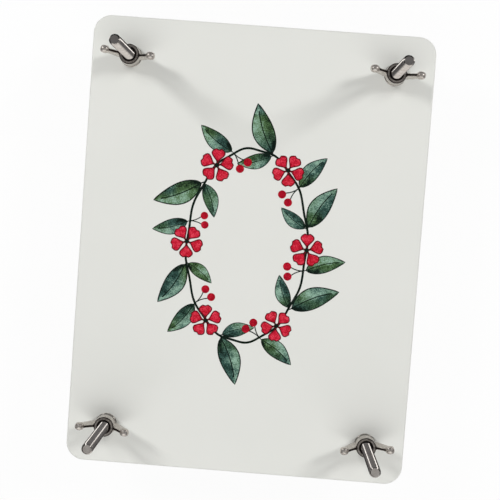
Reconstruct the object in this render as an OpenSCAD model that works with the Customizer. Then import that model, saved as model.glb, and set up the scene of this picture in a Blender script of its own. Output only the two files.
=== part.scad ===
// A hand-screwed flower press: two boards, a stack of cards and blotting sheets
// between them, and four bolts whose wing nuts squeeze the stack.
// It lies flat: X across the boards, Y along them, Z up, underside at z = 0.

/* [Boards] */
// Width of both boards, across the press
board_w = 190; // [150:1:300]
// Length of both boards, along the press
board_l = 250; // [200:1:400]
// Thickness of each board
board_t = 10; // [8.5:0.5:18]
// Radius of the boards' corners in plan
board_corner_r = 10; // [5:0.5:14]
// Radius that eases every edge of the boards
board_edge_r = 1.2; // [0.6:0.1:2.5]
// Distance from the boards' edges in to each bolt's axis
bolt_inset = 22; // [17:0.5:32]
// Gap all round between a bolt and its hole in a board
hole_play = 0.5; // [0.2:0.1:1.5]

/* [Bolts] */
// Diameter of the bolts' shanks
bolt_d = 6; // [5:0.25:7]
// Length of a bolt from under its head to its tip
bolt_l = 100; // [80:1:130]
// Diameter of the domed head
head_d = 16.5; // [13:0.5:19]
// Height of the domed head
head_h = 3.5; // [2:0.1:4.5]
// Straight rim of the head, under the dome
head_rim_h = 0.7; // [0.3:0.1:1.2]
// Width of the square neck, across its flats
neck_w = 6.4; // [6:0.1:8]
// Length of the square neck
neck_l = 4; // [2:0.1:4.8]
// Chamfer at the tip of the bolt
tip_chamfer = 0.8; // [0.3:0.1:1.5]
// How far the head lies inside its recess
head_sink = 0.5; // [0.2:0.1:1]
// Gap all round between the head and its recess
head_play = 0.5; // [0.2:0.1:1.5]
// Gap between each flat of the neck and its socket
neck_play = 0.1; // [0.05:0.05:0.3]

/* [Washers] */
// Outer diameter of a washer
washer_d = 12; // [10:0.5:18]
// Thickness of a washer
washer_t = 1.6; // [0.8:0.1:2.4]
// Gap all round between a washer and its bolt
washer_play = 0.2; // [0.1:0.05:0.5]
// Chamfer on the washer's outer edges
washer_chamfer = 0.25; // [0.1:0.05:0.35]

/* [Wing nuts] */
// Span over the two wings
nut_span = 30; // [26:0.5:33]
// Height from the base to the top of the wings
nut_h = 16; // [13:0.5:20]
// Diameter of the hub at its base
hub_base_d = 11.75; // [11.25:0.25:15]
// Diameter of the hub at its top
hub_top_d = 11; // [9.75:0.25:11.25]
// Height of the hub
hub_h = 8; // [6:0.25:9]
// Straight band round the foot of the hub
hub_band_h = 1.6; // [0.8:0.1:2.5]
// Chamfer on the hub's outer edges
hub_chamfer = 0.4; // [0.2:0.1:0.6]
// Gap all round between the nut's bore and the bolt
thread_play = 0.05; // [0.02:0.01:0.09]
// Chamfer at both mouths of the bore
bore_chamfer = 0.9; // [0.4:0.1:1.1]
// Thickness of a wing's web
web_t = 3; // [2:0.1:3.2]
// Radius of the web where it leaves the hub
web_root_r = 3.3; // [2.4:0.1:3.6]
// Gap under the web's lowest point, above the nut's base
web_lift = 0.3; // [0.1:0.1:1.2]
// Radius of the web inside the thumb pad
web_tip_r = 2; // [1.5:0.1:2.1]
// Radius of the round thumb pad on a wing's tip
pad_r = 2.5; // [2.2:0.1:3.4]
// Thickness of the thumb pad
pad_t = 4.2; // [3.6:0.1:4.8]
// Radius that rounds the rim of the thumb pad
pad_edge_r = 1.2; // [0.5:0.1:1.4]

/* [Cards and sheets] */
// Number of corrugated cards
card_count = 6; // [3:1:8]
// Thickness of a corrugated card
card_t = 3; // [2.4:0.1:4.5]
// Thickness of the two flat liners of a card
liner_t = 0.35; // [0.2:0.05:0.5]
// Thickness of the wavy medium between the liners
medium_t = 0.4; // [0.2:0.05:0.5]
// Distance from one flute to the next
flute_pitch = 6.5; // [5:0.1:9]
// How far the crests of the medium lie in the liners' glue
glue_lap = 0.06; // [0.04:0.01:0.12]
// Thickness of a blotting sheet
blotter_t = 0.6; // [0.3:0.1:1.5]
// How far the cards and sheets stay inside the boards' edges
stack_margin = 5; // [2:0.5:10]
// Gap between a bolt and the cut corner of the cards and sheets
corner_gap = 1.5; // [0.5:0.1:6]

/* [Hidden] */
$fn = 96;

// How far every cut runs past the surface that it leaves
overrun = 1;

// Signs of the four corners, clockwise from the far left, seen from above
corner_shares = [[-1, 1], [1, 1], [1, -1], [-1, -1]];
// Angle at which each nut was left, anticlockwise from the X axis, in degrees
nut_turns = [-4.3, -4.5, 5.6, -3.5];
// Straight steps that draw one full wave of the medium
wave_steps = 8;
// Width of the neck over its rubbed corners, as a share of its width over the flats
neck_corner_share = 1.33;

// Heights, from the underside up
head_seat_z = head_h + head_sink;
stack_z = board_t;
blotter_count = 2 * (card_count - 1);
card_step = card_t + 2 * blotter_t;
stack_h = card_count * card_t + blotter_count * blotter_t;
lid_z = stack_z + stack_h;
washer_z = lid_z + board_t;
nut_z = washer_z + washer_t;

// Plan sizes of the stack, and the leg of its cut corners: the slanted cut
// passes the bolt at corner_gap
stack_w = board_w - 2 * stack_margin;
stack_l = board_l - 2 * stack_margin;
corner_cut = 2 * (bolt_inset - stack_margin) + sqrt(2) * (bolt_d / 2 + corner_gap);

// The medium's wave: a whole number of flutes fills the card's length
flute_count = round(stack_l / flute_pitch);
wave_l = stack_l / flute_count;
wave_rise = (card_t - medium_t) / 2 - liner_t + glue_lap;

// Radius of the bore over its chamfers
bore_mouth_r = bolt_d / 2 + thread_play + bore_chamfer;
// Where a wing's web starts at the hub's foot and ends in the thumb pad, seen
// from the front
web_root = [hub_top_d / 2, web_lift + web_root_r];
pad_centre = [nut_span / 2 - pad_r, nut_h - pad_r];

// Places of the four bolts in plan
function bolt_place(i) = [
    corner_shares[i - 1][0] * (board_w / 2 - bolt_inset),
    corner_shares[i - 1][1] * (board_l / 2 - bolt_inset)
];

// Sets its children on the axis of bolt i, at height z
module at_bolt(i, z) {
    translate([bolt_place(i)[0], bolt_place(i)[1], z]) children();
}

// Section of a board: a bar as wide as asked, with all four corners rounded
module board_section(width) {
    straight_w = width - 2 * board_edge_r;
    straight_t = board_t - 2 * board_edge_r;
    translate([-straight_w / 2, 0]) square([straight_w, board_t]);
    translate([-width / 2, board_edge_r]) square([width, straight_t]);
    for (side = [-1, 1], level = [board_edge_r, board_t - board_edge_r])
        translate([side * straight_w / 2, level]) circle(board_edge_r);
}

// A board without holes: round corners in plan, eased edges above and below
module board_blank() {
    rotate([90, 0, 0])
        linear_extrude(height = board_l - 2 * board_corner_r, center = true)
            board_section(board_w);
    rotate([90, 0, 90])
        linear_extrude(height = board_w - 2 * board_corner_r, center = true)
            board_section(board_l);
    for (share = corner_shares)
        translate([
            share[0] * (board_w / 2 - board_corner_r),
            share[1] * (board_l / 2 - board_corner_r)
        ])
            rotate_extrude() intersection() {
                board_section(2 * board_corner_r);
                square([board_corner_r, board_t]);
            }
}

// Round clearance hole for a bolt, from the underside of a board through it
module bolt_hole() {
    translate([0, 0, -overrun])
        cylinder(h = board_t + 2 * overrun, d = bolt_d + 2 * hole_play);
}

// What a bolt needs below: a recess for its head and a square socket for its neck
module bolt_seat() {
    socket_w = neck_w + 2 * neck_play;
    translate([0, 0, -overrun])
        cylinder(h = head_seat_z + overrun, d = head_d + 2 * head_play);
    translate([-socket_w / 2, -socket_w / 2, 0])
        cube([socket_w, socket_w, head_seat_z + neck_l + neck_play]);
    bolt_hole();
}

module bottom_board() {
    color("whitesmoke") difference() {
        board_blank();
        for (i = [1 : 4]) at_bolt(i, 0) bolt_seat();
    }
}

module top_board() {
    color("whitesmoke") translate([0, 0, lid_z]) difference() {
        board_blank();
        for (i = [1 : 4]) at_bolt(i, 0) bolt_hole();
    }
}

// Domed head, hanging under z = 0: a slice of a sphere above a straight rim
module bolt_head() {
    dome_h = head_h - head_rim_h;
    dome_r = (pow(head_d / 2, 2) + pow(dome_h, 2)) / (2 * dome_h);
    intersection() {
        translate([0, 0, -head_h]) cylinder(h = head_h, d = head_d);
        translate([0, 0, dome_r - head_h]) sphere(dome_r);
    }
}

// Square neck, its edges rubbed round, which keeps the bolt from turning
module bolt_neck() {
    intersection() {
        translate([-neck_w / 2, -neck_w / 2, 0]) cube([neck_w, neck_w, neck_l]);
        cylinder(h = neck_l, d = neck_w * neck_corner_share);
    }
}

module carriage_bolt(i) {
    color("silver") at_bolt(i, head_seat_z) {
        bolt_head();
        bolt_neck();
        rotate_extrude() polygon([
            [0, 0],
            [bolt_d / 2, 0],
            [bolt_d / 2, bolt_l - tip_chamfer],
            [bolt_d / 2 - tip_chamfer, bolt_l],
            [0, bolt_l]
        ]);
    }
}

module washer(i) {
    outer_r = washer_d / 2;
    inner_r = bolt_d / 2 + washer_play;
    color("lightgray") at_bolt(i, washer_z) rotate_extrude() polygon([
        [inner_r, 0],
        [outer_r - washer_chamfer, 0],
        [outer_r, washer_chamfer],
        [outer_r, washer_t - washer_chamfer],
        [outer_r - washer_chamfer, washer_t],
        [inner_r, washer_t]
    ]);
}

// Half section of the hub, bore and all, to be spun about the bolt's axis
module hub_section() {
    bore_r = bolt_d / 2 + thread_play;
    base_r = hub_base_d / 2;
    top_r = hub_top_d / 2;
    polygon([
        [bore_mouth_r, 0],
        [base_r - hub_chamfer, 0],
        [base_r, hub_chamfer],
        [base_r, hub_band_h],
        [top_r, hub_h - hub_chamfer],
        [top_r - hub_chamfer, hub_h],
        [bore_mouth_r, hub_h],
        [bore_r, hub_h - bore_chamfer],
        [bore_r, bore_chamfer]
    ]);
}

// Outline of a tapered bar with round ends: two circles and the four points
// at which their common tangents touch them
module tapered_bar(start, start_r, end, end_r) {
    run = end - start;
    heading = atan2(run[1], run[0]);
    lean = acos((start_r - end_r) / norm(run));
    touch = [for (turn = [heading + lean, heading - lean]) [cos(turn), sin(turn)]];
    polygon([
        start + start_r * touch[0],
        end + end_r * touch[0],
        end + end_r * touch[1],
        start + start_r * touch[1]
    ]);
    translate(start) circle(start_r);
    translate(end) circle(end_r);
}

// Half section of the thumb pad: a slab as thick as the pad, its outer edges rounded
module pad_section() {
    flat_t = pad_t - 2 * pad_edge_r;
    flat_r = pad_r - pad_edge_r;
    intersection() {
        union() {
            translate([0, -pad_t / 2]) square([flat_r, pad_t]);
            translate([0, -flat_t / 2]) square([pad_r, flat_t]);
            for (side = [-1, 1]) translate([flat_r, side * flat_t / 2]) circle(pad_edge_r);
        }
        translate([0, -pad_t / 2]) square([pad_r, pad_t]);
    }
}

// Round thumb pad on a wing's tip, standing on edge
module thumb_pad() {
    rotate([90, 0, 0]) rotate_extrude() pad_section();
}

// One wing, on the +X side of the hub
module wing() {
    rotate([90, 0, 0]) linear_extrude(height = web_t, center = true)
        tapered_bar(web_root, web_root_r, pad_centre, web_tip_r);
    translate([pad_centre[0], 0, pad_centre[1]]) thumb_pad();
}

// What turning the hub takes off the wings' roots: the web from the bore to the
// middle of the hub's wall, and above the hub all that would stand on its flat top
module turned_room() {
    translate([0, 0, -overrun]) cylinder(h = nut_h + 2 * overrun, d = hub_top_d / 2 + bore_mouth_r);
    translate([0, 0, hub_h]) cylinder(h = nut_h, d = hub_top_d - 2 * hub_chamfer);
}

module wing_nut(i) {
    color("darkgray") at_bolt(i, nut_z) rotate([0, 0, nut_turns[i - 1]]) {
        rotate_extrude() hub_section();
        difference() {
            for (half_turn = [0, 180]) rotate([0, 0, half_turn]) wing();
            turned_room();
        }
    }
}

// Outline of the cards and sheets: a rectangle with its corners cut off
// to clear the bolts
module stack_outline() {
    long_x = stack_w / 2;
    long_y = stack_l / 2;
    short_x = long_x - corner_cut;
    short_y = long_y - corner_cut;
    polygon([
        [-short_x, -long_y], [short_x, -long_y],
        [long_x, -short_y], [long_x, short_y],
        [short_x, long_y], [-short_x, long_y],
        [-long_x, short_y], [-long_x, -short_y]
    ]);
}

// Height of the middle of the medium above a card's underside, at a step of the wave
function medium_z(step) = card_t / 2 + wave_rise * sin(360 * step / wave_steps);

// The wavy medium of a card, seen along the flutes
module medium_section() {
    steps = flute_count * wave_steps;
    step_l = wave_l / wave_steps;
    polygon(concat(
        [for (s = [0 : steps]) [s * step_l, medium_z(s) + medium_t / 2]],
        [for (s = [steps : -1 : 0]) [s * step_l, medium_z(s) - medium_t / 2]]
    ));
}

// Section of a card along its length: a solid strip less the flutes, which are
// the room between the liners that the medium leaves free
module card_section() {
    translate([-stack_l / 2, 0]) difference() {
        square([stack_l, card_t]);
        difference() {
            translate([-overrun, liner_t])
                square([stack_l + 2 * overrun, card_t - 2 * liner_t]);
            medium_section();
        }
    }
}

// The flutes run across the press, the short way, so that moisture leaves soonest
module corrugated_card(i) {
    z = stack_z + (i - 1) * card_step;
    color("burlywood") translate([0, 0, z]) intersection() {
        rotate([90, 0, 90])
            linear_extrude(height = stack_w + 2 * overrun, center = true) card_section();
        translate([0, 0, -overrun])
            linear_extrude(height = card_t + 2 * overrun) stack_outline();
    }
}

// Sheets 1 and 2 lie on the first card, 3 and 4 on the second, and so on;
// the flowers go between the two sheets of a pair
module blotting_sheet(i) {
    pair = floor((i - 1) / 2);
    z = stack_z + pair * card_step + card_t + (i - 1 - 2 * pair) * blotter_t;
    color("ivory") translate([0, 0, z]) linear_extrude(height = blotter_t) stack_outline();
}

bottom_board();
top_board();
for (i = [1 : 4]) {
    carriage_bolt(i);
    washer(i);
    wing_nut(i);
}
for (i = [1 : card_count])
    corrugated_card(i);
for (i = [1 : blotter_count])
    blotting_sheet(i);
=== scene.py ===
"""A flower press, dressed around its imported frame.

Two painted boards squeeze a stack of fluted cards and blotting sheets. Four
plated carriage bolts stand up through the corners, and wing nuts on washers draw
the boards together. The lid carries a printed wreath.
"""

import logging
import math
from dataclasses import dataclass
from enum import Enum
from typing import Any, Iterable, Sequence

import bmesh
import bpy
from mathutils import Matrix, Vector


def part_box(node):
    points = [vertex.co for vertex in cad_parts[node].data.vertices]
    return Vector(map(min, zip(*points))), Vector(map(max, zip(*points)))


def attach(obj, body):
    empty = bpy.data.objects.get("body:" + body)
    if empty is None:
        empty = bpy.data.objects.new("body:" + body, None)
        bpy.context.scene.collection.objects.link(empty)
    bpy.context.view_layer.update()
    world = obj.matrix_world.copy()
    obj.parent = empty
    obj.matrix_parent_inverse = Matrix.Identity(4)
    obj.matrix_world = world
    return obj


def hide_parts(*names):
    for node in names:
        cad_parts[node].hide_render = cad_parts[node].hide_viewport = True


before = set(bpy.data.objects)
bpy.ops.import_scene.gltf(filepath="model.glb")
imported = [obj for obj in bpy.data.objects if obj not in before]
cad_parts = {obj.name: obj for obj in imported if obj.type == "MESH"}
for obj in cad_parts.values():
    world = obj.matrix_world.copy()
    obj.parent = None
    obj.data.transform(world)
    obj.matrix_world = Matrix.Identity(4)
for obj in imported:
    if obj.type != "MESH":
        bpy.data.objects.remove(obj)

LOG = logging.getLogger("flower_press")
MM = 0.001
CORNERS = range(1, 5)
CARDS = range(1, 7)
SHEETS = range(1, 11)
MERGE_DISTANCE = 0.001 * MM
CORNER_CUT = 40.36 * MM  # off each corner of the cards and sheets, to clear the bolts
# attribute that carries the painted shade and dark reflections on the wing nuts
PAINTED_SHADE = "stain"
NOISE, RANGE, MIX = "ShaderNodeTexNoise", "ShaderNodeMapRange", "ShaderNodeMix"
BUMP, SHADER, EMISSION = "ShaderNodeBump", "ShaderNodeBsdfPrincipled", "ShaderNodeEmission"
SPLIT, COMBINE = "ShaderNodeSeparateXYZ", "ShaderNodeCombineXYZ"
MATH, VECTOR = "ShaderNodeMath", "ShaderNodeVectorMath"
COLOUR = {"data_type": "RGBA"}
EASED = {"interpolation_type": "SMOOTHSTEP"}

Rgba = tuple[float, float, float, float]
Pair = tuple[float, float]
Ring = list[int]
Inputs = dict[int | str, object]


class Slot(Enum):
    """Material slots, one for each kind of new piece."""

    PAINT = "board_paint"
    BOLT = "bolt_steel"
    NUT = "nut_steel"
    CARD = "card_board"
    BLOTTER = "blotting_paper"
    PETAL = "petal_ink"
    LEAF = "leaf_ink"
    STEM = "stem_ink"


class Ink(Enum):
    """Inks of the print, by their materials' names."""

    LEAF = "leaf_ink"
    PETAL = "petal_ink"
    PETAL_LINE = "petal_line_ink"
    LINE = "line_ink"


def linear(code: str) -> Rgba:
    """Turns an sRGB colour into the linear colour that shaders take.

    Args:
        code: Six hex digits, two each for red, green and blue.

    Returns:
        Linear red, green and blue, and an alpha of 1.
    """
    shares = [int(code[i : i + 2], 16) / 255 for i in (0, 2, 4)]
    red, green, blue = (s / 12.92 if s <= 0.04045 else ((s + 0.055) / 1.055) ** 2.4 for s in shares)
    return red, green, blue, 1.0


def grain(size_mm: float) -> float:
    """Gives the scale at which a noise has one grain in so many millimetres."""
    return 1 / (size_mm * MM)


class NamedTree:
    """A node tree whose results go by name, so that a later node takes one up by naming it."""

    def __init__(self, tree: bpy.types.NodeTree) -> None:
        """Empties the tree and starts on it."""
        tree.nodes.clear()
        self.tree = tree
        self.known: dict[str, bpy.types.NodeSocket] = {}

    def add(self, result: str, kind: str, inputs: Inputs | None = None, **settings: object) -> bpy.types.Node:
        """Adds a node with its settings and links.

        Args:
            result: The name of its result. Its other outputs go by this name and their own.
            kind: The node's type name.
            inputs: Values, by the input's name or place. A text is the name of an earlier result,
                and From and To take a pair, for the least and the most.
            settings: The node's own properties.

        Returns:
            The new node.
        """
        node = self.tree.nodes.new(kind)
        for name, value in settings.items():
            setattr(node, name, value)
        values: Inputs = {}
        for key, value in (inputs or {}).items():
            if key in ("From", "To"):
                values |= {f"{key} Min": value[0], f"{key} Max": value[1]}
            else:
                values[key] = value
        by_name = {s.name: s for s in list(node.inputs)[::-1] if s.enabled}
        for key, value in values.items():
            socket = node.inputs[key] if isinstance(key, int) else by_name[key]
            if isinstance(value, str):
                self.tree.links.new(self.known[value], socket)
            else:
                socket.default_value = value
        outputs = [s for s in node.outputs if s.enabled]
        self.known.update({f"{result} {s.name}": s for s in outputs})
        self.known.update({result: s for s in outputs[:1]})
        return node

    def formula(self, kind: str, *steps: tuple[Any, ...]) -> None:
        """Adds a formula, worked out step by step.

        Args:
            kind: The steps' type of node.
            steps: For each step the name of its result, the operation, and what it works on: names
                of results or inputs, or plain values.
        """
        for result, operation, *values in steps:
            self.add(result, kind, Inputs(enumerate(values)), operation=operation)


@dataclass(frozen=True)
class Finish:
    """What the finishes share: a name, and a material whose patterns keep to the piece."""

    name: str

    def draw(self, tree: NamedTree) -> None:
        """Adds the finish's own nodes, up to its shader."""
        raise NotImplementedError

    def build(self) -> bpy.types.Material:
        """Makes the material.

        Returns:
            The material, which is named as the finish.
        """
        material = bpy.data.materials.new(self.name)
        material.use_nodes = True
        tree = NamedTree(material.node_tree)
        tree.add("at", "ShaderNodeTexCoord")
        self.draw(tree)
        tree.add("end", "ShaderNodeOutputMaterial", {"Surface": "shader"})
        return material


@dataclass(frozen=True)
class SatinPaint(Finish):
    """White satin lacquer, rolled on: almost even, with a fine stipple and a faint cloud in its tone.

    It spreads the light in wide soft sheens, and the stipple of the roller just breaks them up.
    """

    name: str = "satin_lacquer"
    light: str = "E8E8E3"
    shaded: str = "E3E4DE"
    cloud_mm: float = 45.0
    stipple_mm: float = 0.9
    stipple_depth_mm: float = 0.012
    rough: Pair = (0.40, 0.52)
    lacquer_ior: float = 1.49

    def draw(self, tree: NamedTree) -> None:
        """Adds the paint's nodes.

        Args:
            tree: The material's tree.
        """
        tones: Inputs = {"A": linear(self.light), "B": linear(self.shaded)}
        shader: Inputs = {"Base Color": "tone", "Roughness": "rough", "Normal": "bump"}
        tree.add("cloud", NOISE, {"Vector": "at Object", "Scale": grain(self.cloud_mm), "Detail": 3.0})
        tree.add("tone", MIX, {"Factor": "cloud", **tones}, **COLOUR)
        tree.add("stipple", NOISE, {"Vector": "at Object", "Scale": grain(self.stipple_mm), "Detail": 4.0})
        tree.add("bump", BUMP, {"Height": "stipple", "Distance": self.stipple_depth_mm * MM, "Strength": 1.0})
        tree.add("rough", RANGE, {"Value": "stipple", "To": self.rough})
        tree.add("shader", SHADER, {**shader, "IOR": self.lacquer_ior})


@dataclass(frozen=True)
class PlatedSteel(Finish):
    """Nickel plate over steel: bright and a little warm, with the marks of how the piece was made.

    A painted shade, where one is named, is drawn by the piece's own attribute: shade and dark reflections
    painted into the plate's tone, darker and duller than the rest. Under a hazy film the plate is less than
    all metal.
    Scratches and rolling marks are far finer than they are drawn, which lets them show.
    """

    tone: str
    tarnish: str
    rough: Pair
    mark_mm: float
    mark_depth_mm: float
    mark_stretch: tuple[float, float, float] = (1.0, 1.0, 1.0)
    cloud_mm: float = 3.0
    cloud_span: Pair = (0.3, 0.7)
    metallic: float = 1.0
    # colour and roughness of the painted shade and dark reflections that the piece's attribute draws
    stain: str = ""
    painted_shade_rough: float = 0.55
    painted_shade_grain_mm: float = 0.6
    painted_shade_span: Pair = (0.35, 0.65)
    painted_shade_gaps: float = 0.5

    def lay_painted_shade(self, tree: NamedTree) -> None:
        """Lays the painted shade over the plate's tone and roughness.

        Args:
            tree: The material's tree.
        """
        tree.add("drawn", "ShaderNodeAttribute", attribute_name=PAINTED_SHADE)
        tree.add("grain", NOISE, {"Vector": "at Object", "Scale": grain(self.painted_shade_grain_mm), "Detail": 3.0})
        tree.add("broken", RANGE, {"Value": "grain", "From": self.painted_shade_span, "To": (0.0, self.painted_shade_gaps)})
        tree.add("share", RANGE, {"Value": "drawn Fac", "From Min": "broken"})
        tree.add("tone", MIX, {"Factor": "share", "A": "tone", "B": linear(self.stain)}, **COLOUR)
        tree.add("rough", MIX, {"Factor": "share", "A": "rough", "B": self.painted_shade_rough})

    def draw(self, tree: NamedTree) -> None:
        """Adds the plate's nodes.

        Args:
            tree: The material's tree.
        """
        tones: Inputs = {"A": linear(self.tone), "B": linear(self.tarnish)}
        shader: Inputs = {"Base Color": "tone", "Roughness": "rough", "Normal": "bump"}
        tree.add("stretched", "ShaderNodeMapping", {"Vector": "at Object", "Scale": self.mark_stretch})
        tree.add("cloud", NOISE, {"Vector": "at Object", "Scale": grain(self.cloud_mm), "Detail": 4.0})
        tree.add("marks", NOISE, {"Vector": "stretched", "Scale": grain(self.mark_mm), "Detail": 3.0})
        tree.add("mottle", RANGE, {"Value": "cloud", "From": self.cloud_span})
        tree.add("tone", MIX, {"Factor": "mottle", **tones}, **COLOUR)
        tree.add("rough", RANGE, {"Value": "mottle", "To": self.rough})
        tree.add("bump", BUMP, {"Height": "marks", "Distance": self.mark_depth_mm * MM, "Strength": 1.0})
        if self.stain:
            self.lay_painted_shade(tree)
        tree.add("shader", SHADER, {**shader, "Metallic": self.metallic})


@dataclass(frozen=True)
class FibreSheet(Finish):
    """Paper or board: matt, with crossed fibres, a cloudy formation and a few stray flecks.

    Real fibres are a few hundredths of a millimetre wide, so they are drawn some ten times coarser
    to show.
    """

    tone: str
    deep: str
    fleck: str
    fibre_mm: float
    fibre_depth_mm: float
    fleck_share: float
    cloud_mm: float = 9.0
    fibre_stretch: tuple[float, float, float] = (0.25, 1.0, 1.0)
    fibre_rough: float = 0.7
    tone_span: Pair = (0.12, 0.4)
    fleck_span: Pair = (0.72, 0.78)
    roughness: float = 0.92
    nap: float = 0.15

    def draw(self, tree: NamedTree) -> None:
        """Adds the paper's nodes.

        Args:
            tree: The material's tree.
        """
        fibre: Inputs = {"Scale": grain(self.fibre_mm), "Detail": 5.0, "Roughness": self.fibre_rough}
        shader: Inputs = {"Roughness": self.roughness, "Sheen Weight": self.nap, "Base Color": "flecked"}
        tree.add("stretched", "ShaderNodeMapping", {"Vector": "at Object", "Scale": self.fibre_stretch})
        tree.add("cloud", NOISE, {"Vector": "at Object", "Scale": grain(self.cloud_mm), "Detail": 5.0})
        tree.add("fibre", NOISE, {"Vector": "stretched", **fibre})
        tree.formula(MATH, ("blend", "MULTIPLY", "cloud", "fibre"))
        tree.add("spread", RANGE, {"Value": "blend", "From": self.tone_span})
        tree.add("tone", MIX, {"Factor": "spread", "A": linear(self.deep), "B": linear(self.tone)}, **COLOUR)
        tree.add("stray", RANGE, {"Value": "fibre", "From": self.fleck_span, "To": (0.0, self.fleck_share)})
        tree.add("flecked", MIX, {"Factor": "stray", "A": "tone", "B": linear(self.fleck)}, **COLOUR)
        tree.add("bump", BUMP, {"Height": "fibre", "Distance": self.fibre_depth_mm * MM, "Strength": 1.0})
        tree.add("shader", SHADER, {"Normal": "bump", **shader})


@dataclass(frozen=True)
class PrintInk(Finish):
    """Cured printing ink: a mottled wash as from a brush, darker at a shape's root and along one side.

    It is matt and a little uneven. Its specks of pigment are drawn several times coarser, to show.
    """

    deep: str
    tone: str
    other: str
    light: str
    wash_mm: float = 4.0
    wash_share: float = 0.7
    grain_mm: float = 0.7
    grain_rough: float = 0.8
    grain_depth_mm: float = 0.004
    patch_mm: float = 16.0
    patch_span: Pair = (0.4, 0.62)
    tone_span: Pair = (0.52, 1.12)
    side_span: Pair = (0.35, 0.65)
    side_share: float = 0.0
    root_span: Pair = (0.0, 0.5)
    root_share: float = 0.0
    roughness: float = 0.6
    gloss: float = 0.05

    def draw(self, tree: NamedTree) -> None:
        """Adds the ink's nodes: a ramp from its deep tone by the middle ones to its light tone.

        Args:
            tree: The material's tree.
        """
        side: Inputs = {"From": self.side_span, "To": (-self.side_share, self.side_share)}
        root: Inputs = {"From": self.root_span, "To": (-self.root_share, 0.0)}
        middle: Inputs = {"A": linear(self.tone), "B": linear(self.other)}
        speckle: Inputs = {"Scale": grain(self.grain_mm), "Detail": 2.0, "Roughness": self.grain_rough}
        shader: Inputs = {"Roughness": self.roughness, "Specular IOR Level": self.gloss, "Base Color": "lit"}
        tree.add("wash", NOISE, {"Vector": "at Object", "Scale": grain(self.wash_mm), "Detail": 3.0})
        tree.add("grain", NOISE, {"Vector": "at Object", **speckle})
        tree.add("across", "ShaderNodeUVMap", uv_map="UVMap")
        tree.add("shape", SPLIT, {"Vector": "across"})
        tree.add("side", RANGE, {"Value": "shape Y", **side}, **EASED)
        tree.add("root", RANGE, {"Value": "shape X", **root}, **EASED)
        tree.formula(
            MATH,
            ("mottle", "MULTIPLY_ADD", "wash", self.wash_share, "grain"),
            ("tilted", "ADD", "mottle", "side"),
            ("sunk", "ADD", "tilted", "root"),
        )
        tree.add("ramp", RANGE, {"Value": "sunk", "From": self.tone_span})
        tree.add("low", RANGE, {"Value": "ramp", "From": (0.0, 0.5)})
        tree.add("high", RANGE, {"Value": "ramp", "From": (0.5, 1.0)})
        tree.add("patch", NOISE, {"Vector": "at Object", "Scale": grain(self.patch_mm), "Detail": 1.0})
        tree.add("turned", RANGE, {"Value": "patch", "From": self.patch_span})
        tree.add("middle", MIX, {"Factor": "turned", **middle}, **COLOUR)
        tree.add("body", MIX, {"Factor": "low", "A": linear(self.deep), "B": "middle"}, **COLOUR)
        tree.add("lit", MIX, {"Factor": "high", "A": "body", "B": linear(self.light)}, **COLOUR)
        tree.add("bump", BUMP, {"Height": "grain", "Distance": self.grain_depth_mm * MM, "Strength": 1.0})
        tree.add("shader", SHADER, {"Normal": "bump", **shader})


def polar(angle: float, radius: float, height: float = 0.0) -> Vector:
    """Finds a point by its angle round the vertical axis, its distance from it and its height."""
    return Vector((radius * math.cos(angle), radius * math.sin(angle), height))


def circle(centre: Vector, radius: float, height: float, steps: int) -> list[Vector]:
    """Places points round a level circle.

    Args:
        centre: A point on the circle's axis.
        radius: The circle's radius.
        height: How far above the point it lies.
        steps: How many points.

    Returns:
        The points, anticlockwise from above.
    """
    return [centre + polar(2 * math.pi * i / steps, radius, height) for i in range(steps)]


def rounded_box(
    low: Vector, high: Vector, corner_r: float, inset: float, height: float, steps: int
) -> list[Vector]:
    """Places points round a level rectangle with round corners.

    Args:
        low: Its corner at the least X and Y.
        high: Its corner at the greatest X and Y.
        corner_r: The corners' radius.
        inset: How far inside the rectangle the points lie.
        height: Height of the points.
        steps: Faces round each corner.

    Returns:
        The points, anticlockwise from above.
    """
    points = []
    for quarter in range(4):
        x = high.x - corner_r if quarter in (0, 3) else low.x + corner_r
        y = high.y - corner_r if quarter in (0, 1) else low.y + corner_r
        turns = [math.pi / 2 * (quarter + i / steps) for i in range(steps + 1)]
        points += [Vector((x, y, height)) + polar(turn, corner_r - inset) for turn in turns]
    return points


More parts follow.
